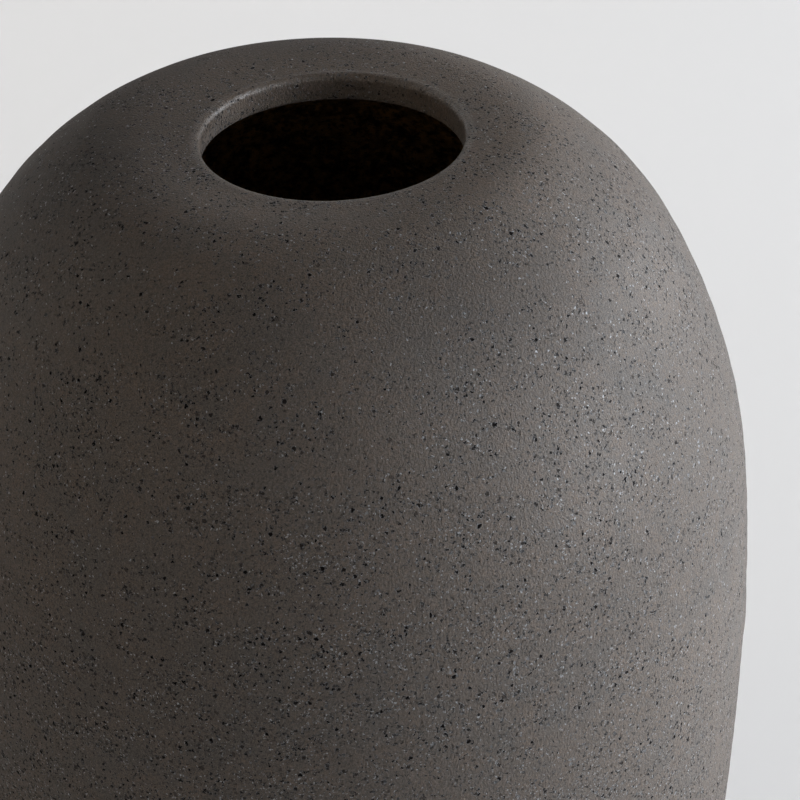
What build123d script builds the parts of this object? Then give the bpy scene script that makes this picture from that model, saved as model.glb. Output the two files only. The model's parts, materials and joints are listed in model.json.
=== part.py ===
"""Stoneware vase: a tall closed dome form with a small mouth, about 240 mm wide and 300 mm high.

The pot is thrown in two sections that are luted together with slip at the belly, then lined
with glaze and set on four small pads. Millimetres, +Z up. The origin is on the pot's axis at
the surface it stands on.
"""

import os
from math import acos
from math import asin
from math import atan2
from math import cos
from math import degrees
from math import radians
from math import sin
from math import sqrt

from build123d import *

# Overall size
TOTAL_HEIGHT = 300.0
BELLY_RADIUS = 120.0

# Outer wall. Each arc runs smoothly into the next. A slope is the wall's angle below
# horizontal going outward: 0 on the crown ring, 90 at the belly, more than 90 below it.
CROWN_ARC = 38.0
CROWN_SLOPE = 32.0
DOME_ARC = 82.0
DOME_SLOPE = 62.0
SHOULDER_ARC = 174.0
SHOULDER_SLOPE = 83.0
BELLY_ARC = 427.0
LOWER_ARC = 920.0
FOOT_CORNER = 18.0

# Wall and floor
WALL = 7.0
FLOOR = 9.0
FLOOR_CORNER = 16.0

# Mouth: the crown dips very slightly toward a rounded lip over a short straight bore, and the
# underside dips more, so that the wall is thickest at the lip
MOUTH_RADIUS = 35.6
OUTER_DIP_ARC = 120.0
INNER_DIP_ARC = 64.0
LIP_ROUND = 2.0
BORE_EDGE_ROUND = 0.8

# Turned recess under the base
RECESS_RADIUS = 79.0
RECESS_DEPTH = 1.8
RECESS_SLOPE_WIDTH = 2.4

# Luted joint at the belly: a ridge on the lower section fits a groove in the upper one
SLIP_THICKNESS = 0.8
RIDGE_HEIGHT = 2.0
RIDGE_LAND = 1.5

# Glaze inside, ending a little way short of the bore's lower edge
GLAZE_THICKNESS = 0.6
GLAZE_START_RADIUS = 37.6

# Pads under the foot ring
PAD_COUNT = 4
PAD_RADIUS = 5.0
PAD_THICKNESS = 1.5
PAD_EDGE_ROUND = 0.5

# Heights and radii that follow from the sizes above
CROWN_RISE = CROWN_ARC * (1 - cos(radians(CROWN_SLOPE)))
DOME_RISE = DOME_ARC * (cos(radians(CROWN_SLOPE)) - cos(radians(DOME_SLOPE)))
SHOULDER_RISE = SHOULDER_ARC * (cos(radians(DOME_SLOPE)) - cos(radians(SHOULDER_SLOPE)))
BELLY_RISE = BELLY_ARC * cos(radians(SHOULDER_SLOPE))
BELLY_HEIGHT = TOTAL_HEIGHT - CROWN_RISE - DOME_RISE - SHOULDER_RISE - BELLY_RISE
FOOT_HEIGHT = PAD_THICKNESS
FLOOR_HEIGHT = FOOT_HEIGHT + FLOOR


def arc_centres():
    """Centres of the belly, shoulder, dome and crown arcs, from the belly up."""
    belly = Vector(BELLY_RADIUS - BELLY_ARC, BELLY_HEIGHT)
    shoulder = belly + slope_vector(SHOULDER_SLOPE) * (BELLY_ARC - SHOULDER_ARC)
    dome = shoulder + slope_vector(DOME_SLOPE) * (SHOULDER_ARC - DOME_ARC)
    crown = dome + slope_vector(CROWN_SLOPE) * (DOME_ARC - CROWN_ARC)
    return belly, shoulder, dome, crown


def slope_vector(slope):
    """Unit vector out of the wall where its slope is this many degrees."""
    return Vector(sin(radians(slope)), cos(radians(slope)))


def slope_arc(centre, radius, slope_from, slope_to):
    """Part of a circle between two wall slopes."""
    return CenterArc((centre.X, centre.Y), radius, 90 - slope_from, slope_from - slope_to)


def corner_slope(arc, corner, foot):
    """Slope at which the lower wall meets a corner arc that ends on a level foot."""
    return degrees(acos((foot + corner - BELLY_HEIGHT) / (arc - corner)))


def wall_arcs(inset, corner, foot):
    """Arcs from the crown ring down to the base, this far inside the outer surface."""
    belly, shoulder, dome, crown = arc_centres()
    lower = Vector(BELLY_RADIUS - LOWER_ARC, BELLY_HEIGHT)
    lower_slope = corner_slope(LOWER_ARC - inset, corner, foot)
    corner_centre = lower + slope_vector(lower_slope) * (LOWER_ARC - inset - corner)
    return [
        slope_arc(crown, CROWN_ARC - inset, 0, CROWN_SLOPE),
        slope_arc(dome, DOME_ARC - inset, CROWN_SLOPE, DOME_SLOPE),
        slope_arc(shoulder, SHOULDER_ARC - inset, DOME_SLOPE, SHOULDER_SLOPE),
        slope_arc(belly, BELLY_ARC - inset, SHOULDER_SLOPE, 90),
        slope_arc(lower, LOWER_ARC - inset, 90, lower_slope),
        slope_arc(corner_centre, corner, lower_slope, 180),
    ]


def dip_centre(top, arc):
    """Centre of an arc that is level at the crown ring, at this height, and dips to the lip."""
    crown_ring_radius = arc_centres()[3].X
    return Vector(crown_ring_radius, top - arc)


def round_centre(dip, radius, reach):
    """Centre of a rounded edge on the bore, this far from the centre of a dip."""
    across = MOUTH_RADIUS + radius - dip.X
    return dip + Vector(across, sqrt(reach**2 - across**2))


def slope_seen_from(centre, point):
    """Slope of the line from an arc's centre to a point: negative toward the mouth."""
    offset = point - centre
    return degrees(atan2(offset.X, offset.Y))


def mouth_edges():
    """The inside of the mouth, from the inner crown ring round the lip to the outer one."""
    inner_dip = dip_centre(TOTAL_HEIGHT - WALL, INNER_DIP_ARC)
    outer_dip = dip_centre(TOTAL_HEIGHT, OUTER_DIP_ARC)
    edge_centre = round_centre(inner_dip, BORE_EDGE_ROUND, INNER_DIP_ARC + BORE_EDGE_ROUND)
    lip_centre = round_centre(outer_dip, LIP_ROUND, OUTER_DIP_ARC - LIP_ROUND)
    edge_slope = slope_seen_from(inner_dip, edge_centre)
    lip_slope = slope_seen_from(outer_dip, lip_centre)
    return [
        slope_arc(inner_dip, INNER_DIP_ARC, edge_slope, 0),
        slope_arc(edge_centre, BORE_EDGE_ROUND, edge_slope + 180, 270),
        Line((MOUTH_RADIUS, edge_centre.Y), (MOUTH_RADIUS, lip_centre.Y)),
        slope_arc(lip_centre, LIP_ROUND, -90, lip_slope),
        slope_arc(outer_dip, OUTER_DIP_ARC, lip_slope, 0),
    ]


def clay_section():
    """Half section of the whole clay pot, both thrown sections and the slip between them."""
    outer = wall_arcs(0, FOOT_CORNER, FOOT_HEIGHT)
    inner = wall_arcs(WALL, FLOOR_CORNER, FLOOR_HEIGHT)
    foot_edge = outer[-1] @ 1
    floor_edge = inner[-1] @ 1
    recess_top = FOOT_HEIGHT + RECESS_DEPTH
    base = Polyline(
        (foot_edge.X, FOOT_HEIGHT),
        (RECESS_RADIUS, FOOT_HEIGHT),
        (RECESS_RADIUS - RECESS_SLOPE_WIDTH, recess_top),
        (0, recess_top),
        (0, FLOOR_HEIGHT),
        (floor_edge.X, FLOOR_HEIGHT),
    )
    return make_face(outer + inner + mouth_edges() + [base])


def joint_line(height):
    """Line across the wall at the belly, raised into a ridge at the middle of the wall."""
    outer = BELLY_RADIUS
    inner = BELLY_RADIUS - WALL
    middle = BELLY_RADIUS - WALL / 2
    return [
        (outer + WALL, height),
        (outer - RIDGE_LAND, height),
        (middle, height + RIDGE_HEIGHT),
        (inner + RIDGE_LAND, height),
        (inner - WALL, height),
    ]


def below_joint(height):
    """Everything below a joint line."""
    line = joint_line(height)
    closing = [(0, height), (0, -WALL), (BELLY_RADIUS + WALL, -WALL), line[0]]
    return make_face(Polyline(*line, *closing))


def turned(section):
    """A half section turned round the pot's axis."""
    return revolve(Plane.XZ * section, Axis.Z)


def lower_body():
    """Lower thrown section: floor, foot and wall up to the belly, with a ridge on its rim."""
    return turned(clay_section() & below_joint(BELLY_HEIGHT - SLIP_THICKNESS / 2))


def upper_body():
    """Upper thrown section: the dome from the belly to the mouth, with a groove in its rim."""
    return turned(clay_section() - below_joint(BELLY_HEIGHT + SLIP_THICKNESS / 2))


def joint_slip():
    """Ring of fired slip that bonds the two sections."""
    upper_line = BELLY_HEIGHT + SLIP_THICKNESS / 2
    lower_line = BELLY_HEIGHT - SLIP_THICKNESS / 2
    return turned(clay_section() & (below_joint(upper_line) - below_joint(lower_line)))


def liner_glaze():
    """Coat of glaze over the whole inside, from just under the mouth to the floor."""
    dip = dip_centre(TOTAL_HEIGHT - WALL, INNER_DIP_ARC)
    glaze_dip = INNER_DIP_ARC - GLAZE_THICKNESS
    start_slope = degrees(asin((GLAZE_START_RADIUS - dip.X) / INNER_DIP_ARC))
    start = dip + slope_vector(start_slope) * INNER_DIP_ARC
    end = dip + slope_vector(start_slope) * glaze_dip
    clay = wall_arcs(WALL, FLOOR_CORNER, FLOOR_HEIGHT)
    surface = wall_arcs(
        WALL + GLAZE_THICKNESS,
        FLOOR_CORNER - GLAZE_THICKNESS,
        FLOOR_HEIGHT + GLAZE_THICKNESS,
    )
    clay_edge = clay[-1] @ 1
    surface_edge = surface[-1] @ 1
    floor = Polyline(
        (clay_edge.X, FLOOR_HEIGHT),
        (0, FLOOR_HEIGHT),
        (0, FLOOR_HEIGHT + GLAZE_THICKNESS),
        (surface_edge.X, FLOOR_HEIGHT + GLAZE_THICKNESS),
    )
    ceiling = [
        slope_arc(dip, INNER_DIP_ARC, start_slope, 0),
        slope_arc(dip, glaze_dip, start_slope, 0),
        Line((start.X, start.Y), (end.X, end.Y)),
    ]
    return turned(make_face(clay + surface + ceiling + [floor]))


def foot_pads():
    """Pads stuck to the middle of the foot ring, evenly spaced, with rounded lower edges."""
    foot_edge = (wall_arcs(0, FOOT_CORNER, FOOT_HEIGHT)[-1] @ 1).X
    ring_radius = (foot_edge + RECESS_RADIUS) / 2
    pad = extrude(Circle(PAD_RADIUS), PAD_THICKNESS)
    pad = fillet(pad.edges().group_by(Axis.Z)[0], PAD_EDGE_ROUND)
    places = PolarLocations(ring_radius, PAD_COUNT, start_angle=180 / PAD_COUNT)
    return Compound([place * pad for place in places])


def main():
    os.makedirs("parts", exist_ok=True)
    export_step(lower_body(), "parts/lower_body.step")
    export_step(upper_body(), "parts/upper_body.step")
    export_step(joint_slip(), "parts/joint_slip.step")
    export_step(liner_glaze(), "parts/liner_glaze.step")
    export_step(foot_pads(), "parts/foot_pads.step")


main()
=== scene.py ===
"""Stoneware vase: the visual model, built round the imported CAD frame. Metres, +Z up."""

import json
import math

import bpy
import numpy as np
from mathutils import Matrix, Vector


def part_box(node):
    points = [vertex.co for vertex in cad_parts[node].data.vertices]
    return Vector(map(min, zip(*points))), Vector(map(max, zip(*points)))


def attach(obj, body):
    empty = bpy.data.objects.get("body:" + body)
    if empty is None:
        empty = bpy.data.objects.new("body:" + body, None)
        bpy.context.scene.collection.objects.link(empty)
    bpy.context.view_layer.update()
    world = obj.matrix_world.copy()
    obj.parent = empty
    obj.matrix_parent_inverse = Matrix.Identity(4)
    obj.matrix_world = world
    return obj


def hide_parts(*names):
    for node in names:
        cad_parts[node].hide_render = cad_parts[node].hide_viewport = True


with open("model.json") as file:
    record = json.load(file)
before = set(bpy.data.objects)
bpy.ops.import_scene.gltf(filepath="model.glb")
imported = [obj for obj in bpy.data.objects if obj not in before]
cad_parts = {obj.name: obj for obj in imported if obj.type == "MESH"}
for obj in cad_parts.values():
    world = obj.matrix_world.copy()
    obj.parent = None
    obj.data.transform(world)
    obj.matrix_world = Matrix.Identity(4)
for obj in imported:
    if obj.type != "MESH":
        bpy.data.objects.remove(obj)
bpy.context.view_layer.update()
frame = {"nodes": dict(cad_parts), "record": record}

MM = 0.001

# Places and sizes from the frame
UPPER_LOW, UPPER_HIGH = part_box("upper_body")
AXIS_X = (UPPER_LOW.x + UPPER_HIGH.x) / 2
AXIS_Y = (UPPER_LOW.y + UPPER_HIGH.y) / 2
TOP = UPPER_HIGH.z
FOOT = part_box("lower_body")[0].z
BELLY_RADIUS = (UPPER_HIGH.x - UPPER_LOW.x) / 2
MOUTH = next(m for m in frame["record"]["mounts"] if m["name"] == "mouth")
MOUTH_RADIUS = MOUTH["dims"]["r_mm"] * MM

# The wall's arcs, from the crown ring down: radius, and slope in degrees where the arc ends
CROWN = (38 * MM, 32)
DOME = (82 * MM, 62)
SHOULDER = (174 * MM, 83)
BELLY = (427 * MM, 90)
LOWER_ARC = 920 * MM
FOOT_CORNER = 18 * MM
WALL = 7.0 * MM
FLOOR_THICKNESS = 9.0 * MM
FLOOR_CORNER = 16 * MM
OUTER_DIP_ARC = 400 * MM  # the dip round the mouth, flatter than the CAD model's
INNER_DIP_ARC = 64 * MM
LIP_ROUND = 2.0 * MM
BORE_EDGE_ROUND = 0.8 * MM
RECESS_RADIUS = 79 * MM
RECESS_DEPTH = 1.8 * MM
RECESS_SLOPE_WIDTH = 2.4 * MM
GLAZE_THICKNESS = 0.6 * MM
GLAZE_START_RADIUS = 37.6 * MM
SLIP_THICKNESS = 0.8 * MM
RIDGE_HEIGHT = 2.0 * MM
RIDGE_LAND = 1.5 * MM

FLOOR_HEIGHT = FOOT + FLOOR_THICKNESS


# ---------------------------------------------------------------- the outline
def out_of_wall(slope):
    """Unit vector (r, z) out of the wall where its slope is this many degrees."""
    return np.array([math.sin(math.radians(slope)), math.cos(math.radians(slope))])


def rise(arc, start, end):
    """Height lost along an arc between two slopes."""
    return arc * (math.cos(math.radians(start)) - math.cos(math.radians(end)))


BELLY_HEIGHT = (
    TOP
    - rise(CROWN[0], 0, CROWN[1])
    - rise(DOME[0], CROWN[1], DOME[1])
    - rise(SHOULDER[0], DOME[1], SHOULDER[1])
    - rise(BELLY[0], SHOULDER[1], BELLY[1])
)


def arc_centres():
    """Centres (r, z) of the crown, dome, shoulder, belly and lower arcs."""
    belly = np.array([BELLY_RADIUS - BELLY[0], BELLY_HEIGHT])
    shoulder = belly + out_of_wall(SHOULDER[1]) * (BELLY[0] - SHOULDER[0])
    dome = shoulder + out_of_wall(DOME[1]) * (SHOULDER[0] - DOME[0])
    crown = dome + out_of_wall(CROWN[1]) * (DOME[0] - CROWN[0])
    lower = np.array([BELLY_RADIUS - LOWER_ARC, BELLY_HEIGHT])
    return crown, dome, shoulder, belly, lower


CENTRES = arc_centres()
CROWN_RING = CENTRES[0][0]


def arc_points(centre, radius, start, end, step):
    """Points (r, z, normal r, normal z) along an arc between two slopes, about a step apart."""
    count = max(3, math.ceil(abs(math.radians(end - start)) * radius / step) + 1)
    slopes = np.radians(np.linspace(start, end, count))
    normals = np.stack([np.sin(slopes), np.cos(slopes)], axis=1)
    return np.hstack([np.asarray(centre) + radius * normals, normals])


def line_points(start, end, step):
    """Points along a straight line, with the normal on the left of its direction."""
    start = np.asarray(start, float)
    end = np.asarray(end, float)
    length = np.linalg.norm(end - start)
    count = max(2, math.ceil(length / step) + 1)
    along = (end - start) / length
    normal = np.array([-along[1], along[0]])
    points = start + np.linspace(0, 1, count)[:, None] * (end - start)
    return np.hstack([points, np.tile(normal, (count, 1))])


def join(*runs):
    """Runs of points end to end, without the doubled points where they meet."""
    kept = [runs[0]]
    for run in runs[1:]:
        gap = np.linalg.norm(run[0, :2] - kept[-1][-1, :2])
        kept.append(run[1:] if gap < 1e-7 else run)
    return np.vstack(kept)


def upper_wall(inset, step, lowest=None):
    """The wall from the crown ring down to the belly, this far inside the outer surface."""
    crown, dome, shoulder, belly, _ = CENTRES
    end = BELLY[1]
    if lowest is not None:
        end = math.degrees(math.acos((lowest - BELLY_HEIGHT) / (BELLY[0] - inset)))
    return join(
        arc_points(crown, CROWN[0] - inset, 0, CROWN[1], step),
        arc_points(dome, DOME[0] - inset, CROWN[1], DOME[1], step),
        arc_points(shoulder, SHOULDER[0] - inset, DOME[1], SHOULDER[1], step),
        arc_points(belly, BELLY[0] - inset, SHOULDER[1], end, step),
    )


def corner_slope(arc, corner, foot):
    """Slope at which the lower wall meets the corner that ends on a level foot."""
    return math.degrees(math.acos((foot + corner - BELLY_HEIGHT) / (arc - corner)))


def lower_wall(inset, corner, foot, step, highest=None):
    """The wall from the belly down round the corner to a level foot."""
    arc = LOWER_ARC - inset
    slope = corner_slope(arc, corner, foot)
    start = 90
    if highest is not None:
        start = math.degrees(math.acos((highest - BELLY_HEIGHT) / arc))
    centre = CENTRES[4] + out_of_wall(slope) * (arc - corner)
    return join(
        arc_points(CENTRES[4], arc, start, slope, step),
        arc_points(centre, corner, slope, 180, min(step, 1.2 * MM)),
    )


def dip_round(dip, radius, reach):
    """Centre of a rounded edge on the bore, this far from the centre of a dip."""
    across = MOUTH_RADIUS + radius - dip[0]
    return dip + np.array([across, math.sqrt(reach**2 - across**2)])


def slope_seen_from(centre, point):
    """Slope of the line from an arc's centre to a point: negative toward the mouth."""
    return math.degrees(math.atan2(point[0] - centre[0], point[1] - centre[1]))


def mouth_run(step):
    """From the outer crown ring over the lip, down the bore and back to the inner crown ring."""
    outer = np.array([CROWN_RING, TOP - OUTER_DIP_ARC])
    inner = np.array([CROWN_RING, TOP - WALL - INNER_DIP_ARC])
    lip = dip_round(outer, LIP_ROUND, OUTER_DIP_ARC - LIP_ROUND)
    edge = dip_round(inner, BORE_EDGE_ROUND, INNER_DIP_ARC + BORE_EDGE_ROUND)
    lip_slope = slope_seen_from(outer, lip)
    edge_slope = slope_seen_from(inner, edge)
    underside = arc_points(inner, INNER_DIP_ARC, edge_slope, 0, step)
    underside[:, 2:] *= -1
    return join(
        arc_points(outer, OUTER_DIP_ARC, 0, lip_slope, step),
        arc_points(lip, LIP_ROUND, lip_slope, -90, step / 3),
        line_points((MOUTH_RADIUS, lip[1]), (MOUTH_RADIUS, edge[1]), step / 1.5),
        arc_points(edge, BORE_EDGE_ROUND, 270, 180 + edge_slope, step / 5),
        underside,
    )


# ---------------------------------------------------------------- hand-made unevenness
def smooth(low, high, value):
    """0 below low, 1 above high, with an easy change between them."""
    t = np.clip((value - low) / (high - low), 0.0, 1.0)
    return t * t * (3 - 2 * t)


# How the mouth and the dome stray from true: to the right, tilted (rise over run), forward, down
MOUTH_SHIFT = 1.7 * MM
MOUTH_TILT = 0.03
MOUTH_FORWARD = 1.8 * MM
DOME_SHIFT = -0.9 * MM
DOME_TILT = -0.003
DOME_SINK = 1.35 * MM


def warp(points):
    """The dome sits a little off the pot's axis, and the mouth leans, as thrown work does."""
    x, y, z = points.T
    radius = np.hypot(x - AXIS_X, y - AXIS_Y)
    dome = smooth(TOP - 130 * MM, TOP - 30 * MM, z)
    mouth = (1 - smooth(40 * MM, 72 * MM, radius)) * smooth(TOP - 60 * MM, TOP - 12 * MM, z)
    lean = MOUTH_TILT * (x - AXIS_X) * mouth + DOME_TILT * (y - AXIS_Y) * dome
    moved_x = x + MOUTH_SHIFT * mouth + DOME_SHIFT * dome
    moved_y = y - MOUTH_FORWARD * mouth
    return np.stack([moved_x, moved_y, z + lean - DOME_SINK * dome], axis=1)


RING_WAVES = (
    # spacing, depth, phase of the drift with height, times the unevenness repeats round the pot, its phase
    (6.6 * MM, 0.12 * MM, 0.0, 1, 0.4),
    (10.3 * MM, 0.11 * MM, 1.9, 1, 2.1),
    (27.0 * MM, 0.12 * MM, 4.2, 2, 1.0),
    (61.0 * MM, 0.11 * MM, 2.6, 1, 5.0),
)


def throwing_rings(angle, height):
    """Soft ridges left by the fingers, a few tenths of a millimetre deep, at or inside the outline."""
    total = 0.0
    for spacing, depth, phase, turns, start in RING_WAVES:
        drift = 0.9 * np.sin(height / (4.3 * spacing) + phase) + 0.5 * np.sin(turns * angle + start)
        spiral = angle if turns == 1 else 0.0
        wave = np.sin(2 * math.pi * height / spacing + drift + spiral)
        fade = 0.6 + 0.4 * np.sin(turns * angle + 2.3 * phase + height / (9 * spacing))
        total = total + depth * fade * (wave - 1) / 2
    return total


SEAM_PROUD = 0.40 * MM
SEAM_HALF_WIDTH = 4.5 * MM
SEAM_MARGIN = 1.02  # keeps the seam just inside the outline


def outer_offset(angle, height, radius):
    """How far the outer surface stands from the smooth outline, never outside it."""
    rings = throwing_rings(angle, height) * smooth(44 * MM, 66 * MM, radius)
    band = np.exp(-(((height - BELLY_HEIGHT) / SEAM_HALF_WIDTH) ** 2))
    uneven = 0.75 + 0.25 * np.sin(3 * angle + 1.1)
    seam = SEAM_PROUD * band * uneven
    near_seam = SEAM_PROUD * (1 - smooth(8 * MM, 70 * MM, np.abs(height - BELLY_HEIGHT)))
    return rings + seam - near_seam * SEAM_MARGIN


# Ridges on the inside: spacing and depth
FINGER_RIDGES = (9.2 * MM, 0.30 * MM)
SLOW_SWELL = (31 * MM, 0.15 * MM)


def inner_offset(angle, height, radius):
    """Deeper finger ridges inside, standing in from the clay's smooth inner outline."""
    circled = 2 * math.pi * height
    wave = 0.5 + 0.5 * np.sin(circled / FINGER_RIDGES[0] + angle + 0.8 * np.sin(2 * angle))
    slow = 0.5 + 0.5 * np.sin(circled / SLOW_SWELL[0] + 1.7)
    above_floor = smooth(FLOOR_HEIGHT + 4 * MM, FLOOR_HEIGHT + 22 * MM, height)
    walls = smooth(48 * MM, 70 * MM, radius) * above_floor
    return -(FINGER_RIDGES[1] * wave + SLOW_SWELL[1] * slow) * walls


# ---------------------------------------------------------------- meshes
# Points round each ring of a mesh
AROUND = 384
AROUND_INSIDE = 256


def revolved(name, rows, around, offsets):
    """A closed section of (r, z, normal r, normal z) rows, turned round the axis into a mesh."""
    angles = np.linspace(0, 2 * math.pi, around, endpoint=False)
    radius = np.repeat(rows[:, 0], around).reshape(-1, around)
    height = np.repeat(rows[:, 1], around).reshape(-1, around)
    turn = np.tile(angles, (len(rows), 1))
    push = offsets(turn, height, radius)
    radius = radius + push * rows[:, 2][:, None]
    height = height + push * rows[:, 3][:, None]
    on_axis = rows[:, 0] < 1e-6
    points = np.stack([AXIS_X + radius * np.cos(turn), AXIS_Y + radius * np.sin(turn), height], axis=2)
    vertices = []
    index = np.zeros((len(rows), around), int)
    count = 0
    for i in range(len(rows)):
        if on_axis[i]:
            vertices.append(points[i, :1])
            index[i] = count
            count += 1
        else:
            vertices.append(points[i])
            index[i] = np.arange(count, count + around)
            count += around
    faces = []
    for i in range(len(rows)):
        a = index[i]
        b = index[(i + 1) % len(rows)]
        a_next = np.roll(a, -1)
        b_next = np.roll(b, -1)
        a_is_point = a[0] == a[1]
        b_is_point = b[0] == b[1]
        if a_is_point and b_is_point:
            continue
        if a_is_point:
            faces += list(zip(a.tolist(), b.tolist(), b_next.tolist()))
        elif b_is_point:
            faces += list(zip(a.tolist(), b.tolist(), a_next.tolist()))
        else:
            faces += list(zip(a.tolist(), b.tolist(), b_next.tolist(), a_next.tolist()))
    mesh = bpy.data.meshes.new(name)
    mesh.from_pydata(warp(np.vstack(vertices)).tolist(), [], faces)
    mesh.validate()
    for polygon in mesh.polygons:
        polygon.use_smooth = True
    mesh.set_sharp_from_angle(angle=math.radians(40))
    piece = bpy.data.objects.new(name, mesh)
    bpy.context.scene.collection.objects.link(piece)
    return piece


def joint_run(height, step):
    """The ridged joint face across the wall at the belly, from the inside out."""
    corners = [
        (BELLY_RADIUS - WALL, height),
        (BELLY_RADIUS - WALL + RIDGE_LAND, height),
        (BELLY_RADIUS - WALL / 2, height + RIDGE_HEIGHT),
        (BELLY_RADIUS - RIDGE_LAND, height),
        (BELLY_RADIUS, height),
    ]
    return join(*[line_points(a, b, step) for a, b in zip(corners, corners[1:])])


def masked(offset, rows, shown_rows):
    """An offset that applies only to some rows of a closed section."""
    keep = np.zeros(len(rows))
    keep[shown_rows] = 1.0

    def apply(turn, height, radius):
        return offset(turn, height, radius) * keep[:, None]

    return apply


OUTER_STEP = 1.05 * MM
CROWN_ROWS = 8  # rows of the crown, past the wall, that still carry the rings
FOOT_ROWS = 10  # rows of the foot's corner that stay smooth


def upper_shell():
    """The upper thrown section, from the seam over the dome and into the mouth."""
    seam = BELLY_HEIGHT + SLIP_THICKNESS / 2
    outer = upper_wall(0, OUTER_STEP, seam)[::-1]
    mouth = mouth_run(1.2 * MM)
    inner = upper_wall(WALL, 5 * MM, seam)
    inner[:, 2:] *= -1
    joint = joint_run(seam, 2 * MM)
    rows = join(outer, mouth, inner, joint[:-1])
    offsets = masked(outer_offset, rows, slice(0, len(outer) + CROWN_ROWS))
    return revolved("upper_shell", rows, AROUND, offsets)


def lower_shell():
    """The lower thrown section, from the seam down to the foot, with the recessed base."""
    seam = BELLY_HEIGHT - SLIP_THICKNESS / 2
    outer = lower_wall(0, FOOT_CORNER, FOOT, OUTER_STEP, seam)
    foot_edge = outer[-1, 0]
    recess = FOOT + RECESS_DEPTH
    recess_edge = RECESS_RADIUS - RECESS_SLOPE_WIDTH
    base = join(
        line_points((foot_edge, FOOT), (RECESS_RADIUS, FOOT), 3 * MM),
        line_points((RECESS_RADIUS, FOOT), (recess_edge, recess), 0.6 * MM),
        line_points((recess_edge, recess), (0, recess), 6 * MM),
    )
    inner = lower_wall(WALL, FLOOR_CORNER, FLOOR_HEIGHT, 5 * MM, seam)[::-1].copy()
    inner[:, 2:] *= -1
    floor = line_points((0, FLOOR_HEIGHT), (inner[0, 0], FLOOR_HEIGHT), 8 * MM)
    joint = joint_run(seam, 2 * MM)
    rows = join(outer, base, floor, inner, joint[:-1])
    offsets = masked(outer_offset, rows, slice(0, len(outer) - FOOT_ROWS))
    return revolved("lower_shell", rows, AROUND, offsets)


def seam_slip():
    """The thin ring of slip in the seam, seen as a slightly proud line round the belly."""
    low = BELLY_HEIGHT - SLIP_THICKNESS / 2
    high = BELLY_HEIGHT + SLIP_THICKNESS / 2
    outer = line_points((BELLY_RADIUS, high), (BELLY_RADIUS, low), 0.2 * MM)
    outer[:, 2:] = (1.0, 0.0)
    bottom = joint_run(low, 1 * MM)[::-1]
    top = joint_run(high, 1 * MM)
    rows = join(outer, bottom, top[:-1])
    offsets = masked(outer_offset, rows, slice(0, len(outer)))
    return revolved("seam_slip", rows, AROUND, offsets)


def inner_glaze():
    """The coat of glaze inside, from just under the mouth down over the floor."""
    ceiling = np.array([CROWN_RING, TOP - WALL - INNER_DIP_ARC])
    start = math.degrees(math.asin((GLAZE_START_RADIUS - CROWN_RING) / INNER_DIP_ARC))
    shown_inset = WALL + GLAZE_THICKNESS
    shown_floor = FLOOR_HEIGHT + GLAZE_THICKNESS
    shown = join(
        arc_points(ceiling, INNER_DIP_ARC - GLAZE_THICKNESS, start, 0, 1.2 * MM),
        upper_wall(shown_inset, 1.5 * MM),
        lower_wall(shown_inset, FLOOR_CORNER - GLAZE_THICKNESS, shown_floor, 2 * MM),
    )
    floor = line_points((shown[-1, 0], shown_floor), (0, shown_floor), 3 * MM)
    hidden_corner = lower_wall(WALL, FLOOR_CORNER, FLOOR_HEIGHT, 6 * MM)[::-1]
    hidden_floor = line_points((0, FLOOR_HEIGHT), (hidden_corner[0, 0], FLOOR_HEIGHT), 10 * MM)
    hidden = join(
        hidden_corner,
        upper_wall(WALL, 6 * MM)[::-1],
        arc_points(ceiling, INNER_DIP_ARC, 0, start, 3 * MM),
    )
    rows = join(shown, floor, hidden_floor, hidden)[::-1]
    offsets = masked(inner_offset, rows, slice(len(rows) - len(shown), len(rows)))
    return revolved("inner_glaze", rows, AROUND_INSIDE, offsets)


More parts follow.
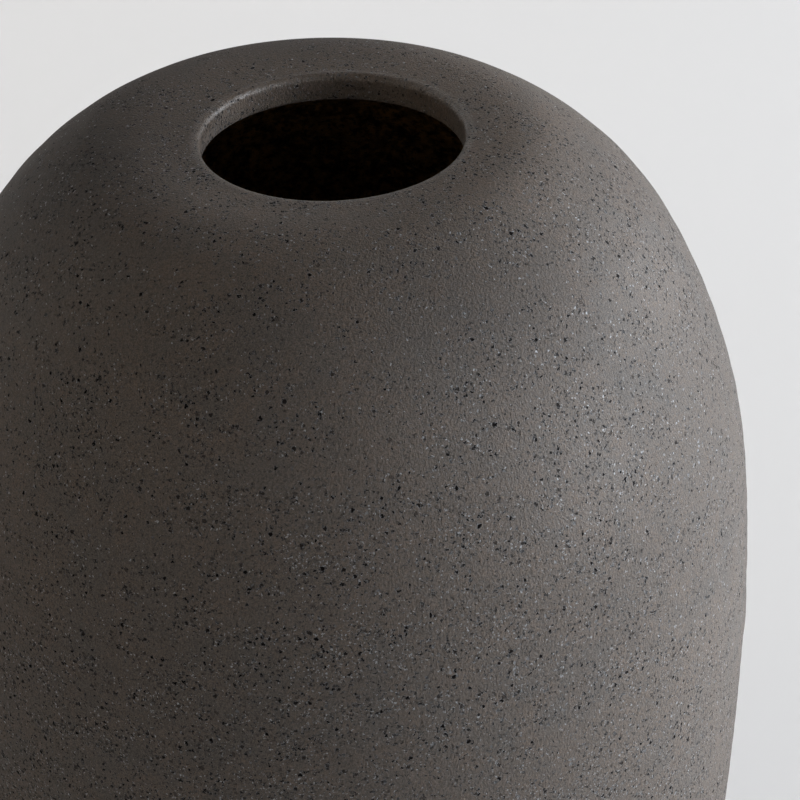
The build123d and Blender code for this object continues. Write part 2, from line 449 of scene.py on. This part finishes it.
# ---------------------------------------------------------------- materials
class Nodes:
    """A short way to build a node tree."""

    def __init__(self, name):
        self.material = bpy.data.materials.new(name)
        self.material.use_nodes = True
        self.tree = self.material.node_tree
        self.shader = self.tree.nodes["Principled BSDF"]
        self.place = self.tree.nodes.new("ShaderNodeTexCoord").outputs["Object"]

    def add(self, kind, inputs=None, **settings):
        """A node with its settings and inputs. An input is a value or another node's output."""
        node = self.tree.nodes.new(kind)
        for key, value in settings.items():
            setattr(node, key, value)
        for key, value in (inputs or {}).items():
            if isinstance(value, bpy.types.NodeSocket):
                self.tree.links.new(value, node.inputs[key])
            else:
                node.inputs[key].default_value = value
        return node

    def link(self, output, socket):
        self.tree.links.new(output, self.shader.inputs[socket])

    def math(self, operation, *values, clamp=False):
        node = self.add("ShaderNodeMath", operation=operation, use_clamp=clamp)
        for socket, value in zip(node.inputs, values):
            if isinstance(value, bpy.types.NodeSocket):
                self.tree.links.new(value, socket)
            else:
                socket.default_value = value
        return node.outputs[0]

    def vector(self, operation, *values):
        """A vector operation's vector output."""
        node = self.add("ShaderNodeVectorMath", dict(enumerate(values)), operation=operation)
        return node.outputs["Vector"]

    def stretched(self, x, y, z):
        """The object's own coordinates, scaled along each axis."""
        return self.vector("MULTIPLY", self.place, (x, y, z))

    def distance(self, point):
        """How far the shaded point is from this one."""
        node = self.add("ShaderNodeVectorMath", {0: self.place, 1: point}, operation="DISTANCE")
        return node.outputs["Value"]

    def noise(self, scale, detail=2.0, roughness=0.5, vector=None):
        node = self.add(
            "ShaderNodeTexNoise",
            {"Vector": vector or self.place, "Scale": scale, "Detail": detail, "Roughness": roughness},
            noise_dimensions="3D",
        )
        return node.outputs["Fac"]

    def ramp(self, value, low, high, to_low=0.0, to_high=1.0, easy=True):
        """A value mapped from one range to another."""
        node = self.add(
            "ShaderNodeMapRange",
            {"Value": value, "From Min": low, "From Max": high, "To Min": to_low, "To Max": to_high},
            interpolation_type="SMOOTHSTEP" if easy else "LINEAR",
        )
        return node.outputs[0]

    def mix(self, factor, a, b, blend="MIX"):
        """Two colours mixed. A factor or a colour is a value or another node's output."""
        node = self.add("ShaderNodeMix", data_type="RGBA", blend_type=blend)
        for socket, value in ((node.inputs[0], factor), (node.inputs[6], a), (node.inputs[7], b)):
            if isinstance(value, bpy.types.NodeSocket):
                self.tree.links.new(value, socket)
            else:
                socket.default_value = value
        return node.outputs[2]

    def bump(self, height, strength=1.0, distance=MM):
        """The surface's relief, from a height."""
        node = self.add("ShaderNodeBump", {"Strength": strength, "Distance": distance, "Height": height})
        self.link(node.outputs[0], "Normal")


def colour(red, green, blue):
    """A linear colour with full alpha."""
    return (red, green, blue, 1.0)


def speckles(nodes, vector, scale, share, size, clump):
    """Spots scattered in space: each spot's dome, 1 at its middle and 0 outside, and its tone."""
    cells = nodes.add(
        "ShaderNodeTexVoronoi",
        {"Vector": vector, "Scale": scale, "Randomness": 1.0},
        voronoi_dimensions="3D",
        feature="F1",
    )
    parts = nodes.add("ShaderNodeSeparateColor", {0: cells.outputs["Color"]})
    chosen = nodes.math("LESS_THAN", parts.outputs[0], nodes.math("MULTIPLY", clump, share))
    reach = nodes.ramp(parts.outputs[1], 0.0, 1.0, size * 0.5, size, easy=False)
    near = nodes.math("DIVIDE", cells.outputs["Distance"], reach)
    left = nodes.math("SUBTRACT", 1.0, nodes.math("MULTIPLY", near, near), clamp=True)
    dome = nodes.math("SQRT", left)
    return nodes.math("MULTIPLY", dome, chosen), parts.outputs[2]


RIM_CENTRE = (AXIS_X + MOUTH_SHIFT + DOME_SHIFT, AXIS_Y - MOUTH_FORWARD, TOP)

# Soft patches of painted shade and painted light on the clay: turn from +X in degrees, depth below the
# top, reach, and how much lighter or darker
PAINTED_SHADING_PATCHES = (
    (190, 5 * MM, 55 * MM, -0.40),
    (300, 10 * MM, 45 * MM, -0.30),
    (250, 110 * MM, 90 * MM, -0.15),
    (150, 5 * MM, 80 * MM, -0.25),
    (90, 5 * MM, 45 * MM, -0.30),
    (30, 5 * MM, 90 * MM, 0.10),
    (245, 10 * MM, 25 * MM, 0.10),
    (310, 60 * MM, 35 * MM, 0.15),
    (340, 25 * MM, 35 * MM, 0.15),
    (335, 145 * MM, 90 * MM, 0.15),
)

# Where the pits crowd together and where the pale flecks of painted glint lie: turn from +X, depth below
# the top
PITTED_PLACE = (272, 190 * MM)
PAINTED_GLINT_PLACE = (318, 115 * MM)

# Spots: how many cells to the metre, the share of cells that hold one, and its size against the cell
PIT_FAMILIES = ((490.0, 0.26, 0.37), (660.0, 0.52, 0.37), (900.0, 0.75, 0.36))
PAINTED_GLINT_FLECKS = (660.0, 0.26, 0.37)
GLINTS = (1250.0, 0.21, 0.35)

CLAY_BROWN = colour(0.0655, 0.0505, 0.0388)
CLAY_GREY = colour(0.058, 0.0485, 0.0405)
CLAY_RUST = colour(0.0715, 0.0535, 0.0405)
CLAY_COOL = colour(0.062, 0.0525, 0.046)
WARM_CROWN = colour(1.06, 1.0, 0.93)
# Painted glints: pale flecks and small glints coloured as light caught on the clay's grains
PAINTED_GLINT_FLECK_COLOUR = colour(0.20, 0.205, 0.212)
GLINT_COLOUR = colour(0.21, 0.22, 0.23)
# Painted glint on the pale rims round the pits
PIT_RIM_GLINT_COLOUR = colour(0.19, 0.197, 0.208)
# Painted shade: the pits coloured near black as shade in the recesses
PIT_SHADE_COLOUR = colour(0.005, 0.004, 0.004)


def on_wall(turn, depth):
    """The point of the upper wall at this turn and this far below the top."""
    wall = upper_wall(0, 2 * MM)
    radius = float(np.interp(depth, TOP - wall[:, 1], wall[:, 0]))
    a = math.radians(turn)
    return (AXIS_X + radius * math.cos(a), AXIS_Y + radius * math.sin(a), TOP - depth)


def painted_shading_patches(n):
    """Painted shade and painted light: a factor that darkens or lightens the clay softly round each patch.
    """
    total = 0.0
    for turn, depth, reach, strength in PAINTED_SHADING_PATCHES:
        near = n.ramp(n.distance(on_wall(turn, depth)), reach, 0.0, 0.0, strength)
        total = n.math("ADD", near, total)
    return n.math("EXPONENT", total)


def ragged_place(n):
    """The object's coordinates, shaken a little, so that spots come out uneven."""
    wobble = n.add(
        "ShaderNodeTexNoise",
        {"Vector": n.place, "Scale": 1700.0, "Detail": 1.0},
        noise_dimensions="3D",
    )
    push = n.vector("SUBTRACT", wobble.outputs["Color"], (0.5, 0.5, 0.5))
    push = n.add("ShaderNodeVectorMath", {0: push, "Scale": 1.4 * MM}, operation="SCALE")
    return n.vector("ADD", n.place, push.outputs["Vector"])


def clay_spots(n, from_rim):
    """Pits, their raised edges, pale flecks and small glints, each 0 to 1: the flecks, the glints and the
    pale rims of the pits are painted glints, and the pits are painted shade.
    """
    ragged = ragged_place(n)
    clump = n.ramp(n.noise(75.0, 3.0, 0.7, n.stretched(1.0, 1.0, 2.4)), 0.36, 0.66, 0.2, 2.1)
    regions = n.ramp(n.noise(16.0, 1.0, 0.5, n.stretched(1.0, 1.0, 1.3)), 0.36, 0.6, 0.65, 1.25)
    clump = n.math("MULTIPLY", clump, regions)
    pitted = n.ramp(n.distance(on_wall(*PITTED_PLACE)), 180 * MM, 50 * MM, 0.7, 2.7)
    glinting = n.math("MULTIPLY", clump, pitted)
    pitted = n.math("ADD", n.ramp(from_rim, 80 * MM, 42 * MM, 0.0, 0.8), pitted)
    pitting = n.math("MULTIPLY", clump, pitted)
    # Where the pale flecks of painted glint crowd
    glint_crowd = n.ramp(n.distance(on_wall(*PAINTED_GLINT_PLACE)), 95 * MM, 25 * MM, 0.25, 1.7)

    pit = 0.0
    ring = 0.0
    for scale, share, size in PIT_FAMILIES:
        spots, tone = speckles(n, ragged, scale, share, size, pitting)
        depth = n.ramp(tone, 0.0, 0.85, 0.25, 1.0, easy=False)
        pit = n.math("MAXIMUM", n.math("MULTIPLY", n.ramp(spots, 0.3, 0.75), depth), pit)
        edge = n.math("SUBTRACT", n.ramp(spots, 0.0, 0.3), n.ramp(spots, 0.4, 0.75))
        ring = n.math("MAXIMUM", n.math("MULTIPLY", edge, n.math("GREATER_THAN", tone, 0.4)), ring)
    pale_glint, _ = speckles(n, ragged, *PAINTED_GLINT_FLECKS, glint_crowd)
    glint, _ = speckles(n, ragged, *GLINTS, glinting)
    return pit, ring, pale_glint, glint


def mouth_rim(n):
    """1 on the lip and 0 away from it: fingers smoothed the clay there."""
    height_up = n.add("ShaderNodeSeparateXYZ", {0: n.place}).outputs[2]
    across = n.vector("MULTIPLY", n.vector("SUBTRACT", n.place, RIM_CENTRE), (1.0, 1.0, 0.0))
    reach = n.add("ShaderNodeVectorMath", {0: across}, operation="LENGTH").outputs["Value"]
    rim = n.ramp(reach, MOUTH_RADIUS + 3.6 * MM, MOUTH_RADIUS + 1.8 * MM)
    return n.math("MULTIPLY", rim, n.ramp(height_up, TOP - 8.5 * MM, TOP - 5.0 * MM))


def clay_material():
    """Coarse dark stoneware, bare and sandy, with pits painted near black as shade, painted glints, and
    soft patches of painted shade and light.
    """
    n = Nodes("stoneware_clay")
    patches = n.noise(22.0, 3.0, 0.55)
    blotches = n.noise(120.0, 2.0, 0.5)
    tint = n.noise(1100.0, 1.0, 0.5)
    grain = n.noise(1500.0, 2.0, 0.6, n.stretched(1.0, 1.0, 0.65))
    sand = n.noise(3000.0, 1.0, 0.5)
    from_rim = n.distance(RIM_CENTRE)
    pit, ring, pale_glint, glint = clay_spots(n, from_rim)
    # Painted shade and painted light, as one factor
    painted_shading = painted_shading_patches(n)

    base = n.mix(n.ramp(patches, 0.35, 0.65), CLAY_BROWN, CLAY_GREY)
    base = n.mix(n.ramp(blotches, 0.3, 0.7), base, CLAY_RUST)
    base = n.mix(n.ramp(tint, 0.35, 0.65, 0.0, 0.6), base, CLAY_COOL)
    shade = n.ramp(grain, 0.3, 0.7, 0.68, 1.32, easy=False)
    shade = n.math("ADD", shade, n.ramp(sand, 0.3, 0.7, -0.4, 0.4, easy=False))
    # Painted shade and painted light: the soft patches darken or lighten the clay's colour
    shade = n.math("MULTIPLY", shade, painted_shading)
    tone = n.add("ShaderNodeCombineColor", {0: shade, 1: shade, 2: shade}).outputs[0]
    base = n.mix(1.0, base, tone, "MULTIPLY")
    base = n.mix(n.ramp(from_rim, 90 * MM, 42 * MM), base, WARM_CROWN, "MULTIPLY")
    # Painted glints: the pale flecks and the small glints lighten the clay's colour
    base = n.mix(n.ramp(pale_glint, 0.0, 0.8, 0.0, 0.8), base, PAINTED_GLINT_FLECK_COLOUR)
    base = n.mix(n.ramp(glint, 0.0, 0.7, 0.0, 0.85), base, GLINT_COLOUR)
    # Painted glints: the rims of the pits lightened
    base = n.mix(n.math("MULTIPLY", ring, 0.6), base, PIT_RIM_GLINT_COLOUR)
    # Painted shade: the pits darkened near black
    base = n.mix(pit, base, PIT_SHADE_COLOUR)
    n.link(base, "Base Color")

    rough = n.ramp(grain, 0.3, 0.7, 0.68, 0.82, easy=False)
    rough = n.math("SUBTRACT", rough, n.math("MULTIPLY", mouth_rim(n), 0.3))
    rough = n.math("SUBTRACT", rough, n.math("MULTIPLY", glint, 0.4))
    n.link(rough, "Roughness")
    shine = n.math("SUBTRACT", 0.5, n.math("MULTIPLY", pit, 0.48))
    n.link(n.math("MULTIPLY", shine, painted_shading), "Specular IOR Level")

    height = n.math("MULTIPLY", sand, 0.12)
    height = n.math("ADD", height, n.math("MULTIPLY", grain, 0.24))
    height = n.math("ADD", height, n.math("MULTIPLY", ring, 0.12))
    height = n.math("SUBTRACT", height, n.math("MULTIPLY", pit, 0.45))
    n.bump(height)
    return n.material


GLAZE_THIN = colour(0.26, 0.14, 0.042)
GLAZE_THICK = colour(0.085, 0.042, 0.013)
GLAZE_BREAK = colour(0.38, 0.21, 0.065)
GLAZE_SPOT = colour(0.012, 0.007, 0.004)
GLAZE_POOL = colour(0.02, 0.011, 0.005)


def glaze_material():
    """Rust-brown glaze, mottled, pooling dark and glossy in the hollows."""
    n = Nodes("liner_glaze")
    thin = n.noise(130.0, 4.0, 0.65)
    mottle = n.noise(330.0, 3.0, 0.65)
    spots = n.noise(700.0, 2.0, 0.6)
    base = n.mix(n.ramp(thin, 0.35, 0.65), GLAZE_THICK, GLAZE_THIN)
    base = n.mix(n.ramp(mottle, 0.50, 0.62), base, GLAZE_BREAK)
    base = n.mix(n.ramp(spots, 0.55, 0.66), base, GLAZE_SPOT)
    base = n.mix(n.ramp(mottle, 0.46, 0.36), base, GLAZE_POOL)
    n.link(base, "Base Color")
    n.link(n.ramp(mottle, 0.3, 0.7, 0.20, 0.42), "Roughness")
    n.bump(n.math("ADD", n.math("MULTIPLY", thin, 0.5), n.math("MULTIPLY", mottle, 0.3)), 0.7)
    return n.material


def pad_material():
    """Dense black foam rubber."""
    n = Nodes("foot_pad_rubber")
    pores = n.noise(2600.0, 2.0, 0.6)
    base = n.mix(n.ramp(pores, 0.35, 0.65), colour(0.012, 0.012, 0.013), colour(0.030, 0.030, 0.031))
    n.link(base, "Base Color")
    n.link(n.ramp(pores, 0.3, 0.7, 0.75, 0.95), "Roughness")
    n.bump(pores, 0.5, 0.2 * MM)
    return n.material


def floor_material():
    """Plain pale studio floor."""
    n = Nodes("studio_floor")
    n.shader.inputs["Base Color"].default_value = colour(0.742, 0.724, 0.708)
    n.shader.inputs["Roughness"].default_value = 0.9
    n.shader.inputs["Specular IOR Level"].default_value = 0.1
    return n.material


# ---------------------------------------------------------------- stage, lights and camera
FLOOR_FLAT = 3.4
FLOOR_CURVE = 1.2
FLOOR_WALL = 2.0
FLOOR_AROUND = 96


def studio_floor():
    """A pale floor that curves up into a wall all round, well behind the lights."""
    outline = [(r, 0.0) for r in np.linspace(0.2, FLOOR_FLAT, 5)]
    for t in np.linspace(0.1, math.pi / 2, 12):
        outline.append((FLOOR_FLAT + FLOOR_CURVE * math.sin(t), FLOOR_CURVE * (1 - math.cos(t))))
    outline.append((FLOOR_FLAT + FLOOR_CURVE, FLOOR_CURVE + FLOOR_WALL))
    angles = np.linspace(0, 2 * math.pi, FLOOR_AROUND, endpoint=False)
    vertices = [(0.0, 0.0, 0.0)]
    for r, z in outline:
        vertices += [(r * math.cos(a), r * math.sin(a), z) for a in angles]
    faces = []
    for k in range(FLOOR_AROUND):
        faces.append((0, 1 + k, 1 + (k + 1) % FLOOR_AROUND))
    for i in range(len(outline) - 1):
        a = 1 + i * FLOOR_AROUND
        b = a + FLOOR_AROUND
        for k in range(FLOOR_AROUND):
            j = (k + 1) % FLOOR_AROUND
            faces.append((a + k, b + k, b + j, a + j))
    mesh = bpy.data.meshes.new("studio_floor")
    mesh.from_pydata(vertices, [], faces)
    for polygon in mesh.polygons:
        polygon.use_smooth = True
    floor = bpy.data.objects.new("studio_floor", mesh)
    bpy.context.scene.collection.objects.link(floor)
    mesh.materials.append(floor_material())


# Light colours
KEY = (0.945, 1.0, 1.07)
FILL = (1.15, 1.0, 0.8)

LIGHTS = (
    # turn from +X and height above horizontal in degrees, power in watts, colour
    (0, 10, 110.0, KEY),
    (15, 10, 85.0, KEY),
    (330, 10, 22.0, KEY),
    (210, 10, 4.0, FILL),
    (240, 10, 4.0, FILL),
    (180, 35, 5.5, FILL),
    (300, 60, 1.0, FILL),
    (0, 88, 1.0, FILL),
)
LIGHT_SIZE = 1.75
LIGHT_DISTANCE = 2.8
BACKDROP_LIGHTS = (
    # place, what it lights, size, power in watts, spread in degrees
    ((-1.1, 1.3, 0.9), (-0.3, 0.6, 0.0), 0.6, 1.2, 70),
    ((0.0, 1.6, 1.2), (0.0, 0.65, 0.0), 0.7, 0.56, 60),
)
WORLD_STRENGTH = 0.035


def softbox(name, place, target, size, power, tint=(1.0, 1.0, 1.0), spread=180):
    """A square soft light, out of the camera's sight."""
    data = bpy.data.lights.new(name, "AREA")
    data.shape = "SQUARE"
    data.size = size
    data.energy = power
    data.color = tint
    data.spread = math.radians(spread)
    lamp = bpy.data.objects.new(name, data)
    bpy.context.scene.collection.objects.link(lamp)
    lamp.location = place
    lamp.rotation_mode = "QUATERNION"
    lamp.rotation_quaternion = (Vector(place) - Vector(target)).to_track_quat("Z", "Y")
    lamp.visible_camera = False


def studio_lights():
    """A wide soft light low on the right, weak fills round the left, and two lights on the backdrop."""
    aim = Vector((AXIS_X, AXIS_Y, TOP * 2 / 3))
    for number, (turn, climb, power, tint) in enumerate(LIGHTS):
        a = math.radians(turn)
        e = math.radians(climb)
        away = Vector((math.cos(a) * math.cos(e), math.sin(a) * math.cos(e), math.sin(e)))
        softbox(f"softbox_{number}", aim + away * LIGHT_DISTANCE, aim, LIGHT_SIZE, power, tint)
    for number, (place, target, size, power, spread) in enumerate(BACKDROP_LIGHTS):
        softbox(f"backdrop_light_{number}", place, target, size, power, spread=spread)
    world = bpy.data.worlds.new("studio")
    world.use_nodes = True
    background = world.node_tree.nodes["Background"]
    background.inputs["Color"].default_value = colour(1.0, 1.0, 1.0)
    background.inputs["Strength"].default_value = WORLD_STRENGTH
    bpy.context.scene.world = world


CAMERA_RIGHT = 19.0 * MM
CAMERA_NEAR = 795.7 * MM
CAMERA_ABOVE_TOP = 416.4 * MM
CAMERA_DOWN = math.radians(32.32)


def camera():
    """Looking down on the mouth from in front, close enough to crop the foot and the left side."""
    data = bpy.data.cameras.new("camera")
    data.lens = 150
    data.sensor_width = 36
    data.clip_start = 0.05
    data.clip_end = 60
    eye = bpy.data.objects.new("camera", data)
    eye.location = (AXIS_X + CAMERA_RIGHT, AXIS_Y - CAMERA_NEAR, TOP + CAMERA_ABOVE_TOP)
    eye.rotation_euler = (math.pi / 2 - CAMERA_DOWN, 0.0, 0.0)
    bpy.context.scene.collection.objects.link(eye)
    bpy.context.scene.camera = eye


# ---------------------------------------------------------------- assembly
clay = clay_material()
glaze = glaze_material()
pads = pad_material()

for piece, node, slot, material in (
    (upper_shell(), "upper_body", "clay", clay),
    (lower_shell(), "lower_body", "clay", clay),
    (seam_slip(), "joint_slip", "slip", clay),
    (inner_glaze(), "liner_glaze", "glaze", glaze),
):
    piece.data.materials.append(material)
    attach(piece, "root")
    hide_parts(node)

pad_node = frame["nodes"]["foot_pads"]
pad_node.data.materials.clear()
pad_node.data.materials.append(pads)

studio_floor()
studio_lights()
camera()
bpy.context.scene.view_settings.view_transform = "Standard"
